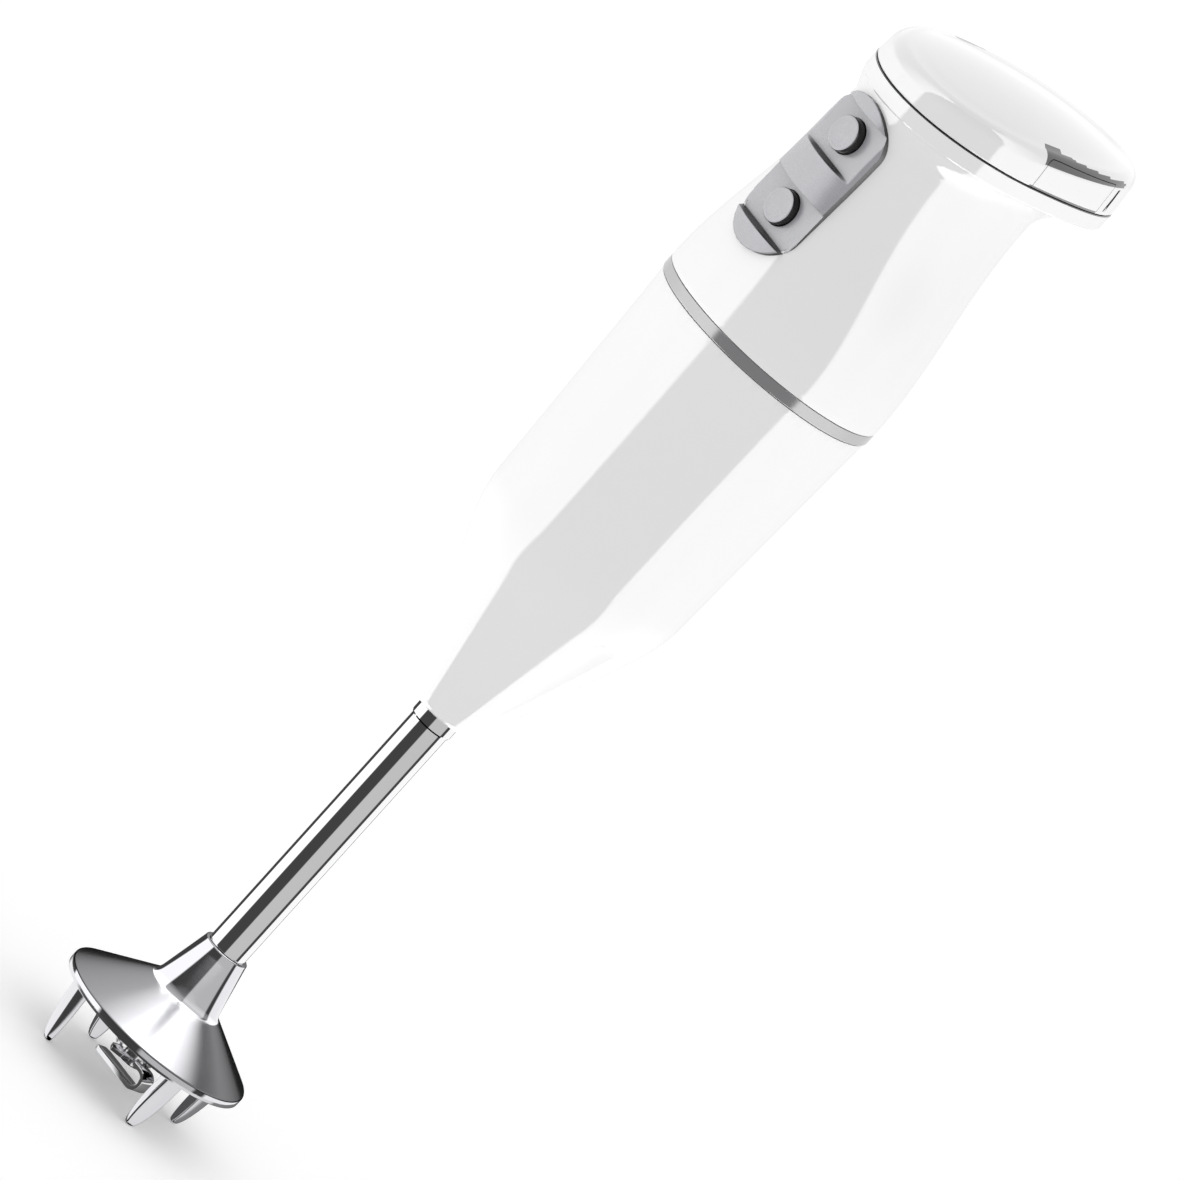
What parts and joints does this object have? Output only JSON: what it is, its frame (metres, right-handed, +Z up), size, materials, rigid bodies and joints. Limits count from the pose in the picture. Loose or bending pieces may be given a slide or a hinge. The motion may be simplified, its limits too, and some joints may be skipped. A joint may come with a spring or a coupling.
{
  "type": "immersion blender",
  "caption": "Cordless immersion blender: pronged metal blade guard, chrome shaft, white tapered motor housing, button pad and lift-off battery pack.",
  "frame": {"origin": "on the shaft axis, in the plane of the guard's four prong tips, on which the blender stands", "axes": "+Z up along the shaft to the battery cap, -Y the side of the two buttons, +Y the cap's overhanging nose"},
  "size_m": [0.0734, 0.0952, 0.3747],
  "materials": {
    "guard_steel": "satin-polished cast stainless steel",
    "tube_chrome": "mirror-polished chrome",
    "blade_steel": "ground stainless steel",
    "shaft_steel": "ground steel",
    "bronze": "sintered bronze",
    "seal_rubber": "moulded rubber",
    "white_shell": "glossy white plastic",
    "grey_ring": "glossy light grey plastic",
    "grey_pad": "soft-touch light grey rubber plastic",
    "dark_plastic": "moulded dark plastic",
    "motor_steel": "zinc-plated sheet steel",
    "magnet": "sintered ferrite",
    "core_steel": "stacked steel sheets",
    "copper": "enamelled copper",
    "carbon": "pressed carbon",
    "lead_red": "insulated wire",
    "board_green": "lacquered circuit board",
    "gold_contact": "gold-plated contact",
    "screw_steel": "zinc-plated steel",
    "cell_wrap": "shrink-wrapped cell"
  },
  "bodies": {
    "blender_body": {"blade_guard": "guard_steel", "lower_bush": "bronze", "shaft_seal": "seal_rubber", "shaft_tube": "tube_chrome", "shaft_collar": "tube_chrome", "shaft_flange": "dark_plastic", "upper_bush": "bronze", "motor_housing": "white_shell", "motor_mount": "dark_plastic", "mount_dampers": "seal_rubber", "motor_screws": "screw_steel", "motor_can": "motor_steel", "motor_magnets": "magnet", "motor_bearing_lower": "bronze", "motor_bearing_upper": "bronze", "motor_end_cap": "dark_plastic", "carbon_brushes": "carbon", "brush_springs": "screw_steel", "motor_leads": "lead_red", "joint_ring": "grey_ring", "handle_shell": "white_shell", "button_pad": "grey_pad", "switch_board": "board_green", "board_screws": "screw_steel", "switches": "dark_plastic", "battery_sleeve": "dark_plastic", "sleeve_screws": "screw_steel", "sleeve_contacts": "gold_contact"},
    "drive_train": {"drive_shaft": "shaft_steel", "drive_pin": "shaft_steel", "shaft_coupling": "dark_plastic", "motor_shaft": "shaft_steel", "armature_core": "core_steel", "armature_windings": "copper", "commutator": "copper"},
    "blade": {"blade_hub": "blade_steel", "cutting_blade": "blade_steel"},
    "lower_button": {"button_low": "grey_pad", "plunger_low": "dark_plastic"},
    "upper_button": {"button_high": "grey_pad", "plunger_high": "dark_plastic"},
    "battery_pack": {"battery_cap": "white_shell", "battery_case": "dark_plastic", "battery_cells": "cell_wrap", "battery_board": "board_green", "battery_contacts": "gold_contact", "cap_screws": "screw_steel", "spring_left": "screw_steel", "spring_right": "screw_steel"},
    "left_clip": {"clip_left": "white_shell"},
    "right_clip": {"clip_right": "white_shell"}
  },
  "joints": [
    {"name": "spindle_spin", "type": "hinge", "parent": "blender_body", "child": "drive_train", "pos_m": [0, 0, 0.09], "axis": [0, 0, 1], "continuous": true},
    {"name": "blade_pull", "type": "slide", "parent": "drive_train", "child": "blade", "axis": [0, 0, -1], "range_m": [0, 0.014]},
    {"name": "lower_button_press", "type": "slide", "parent": "blender_body", "child": "lower_button", "axis": [0, 1, 0], "range_m": [0, 0.001], "stiffness_N_per_m": 1500, "springref_m": -0.0003},
    {"name": "upper_button_press", "type": "slide", "parent": "blender_body", "child": "upper_button", "axis": [0, 1, 0], "range_m": [0, 0.001], "stiffness_N_per_m": 1500, "springref_m": -0.0003},
    {"name": "battery_lift", "type": "slide", "parent": "blender_body", "child": "battery_pack", "axis": [0, 0, 1], "range_m": [0, 0.085]},
    {"name": "left_clip_press", "type": "slide", "parent": "battery_pack", "child": "left_clip", "axis": [1, 0, 0], "range_m": [0, 0.0012], "stiffness_N_per_m": 1200, "springref_m": -0.0004, "deforming": ["spring_left"]},
    {"name": "right_clip_press", "type": "slide", "parent": "battery_pack", "child": "right_clip", "axis": [-1, 0, 0], "range_m": [0, 0.0012], "stiffness_N_per_m": 1200, "springref_m": -0.0004, "deforming": ["spring_right"]}
  ]
}
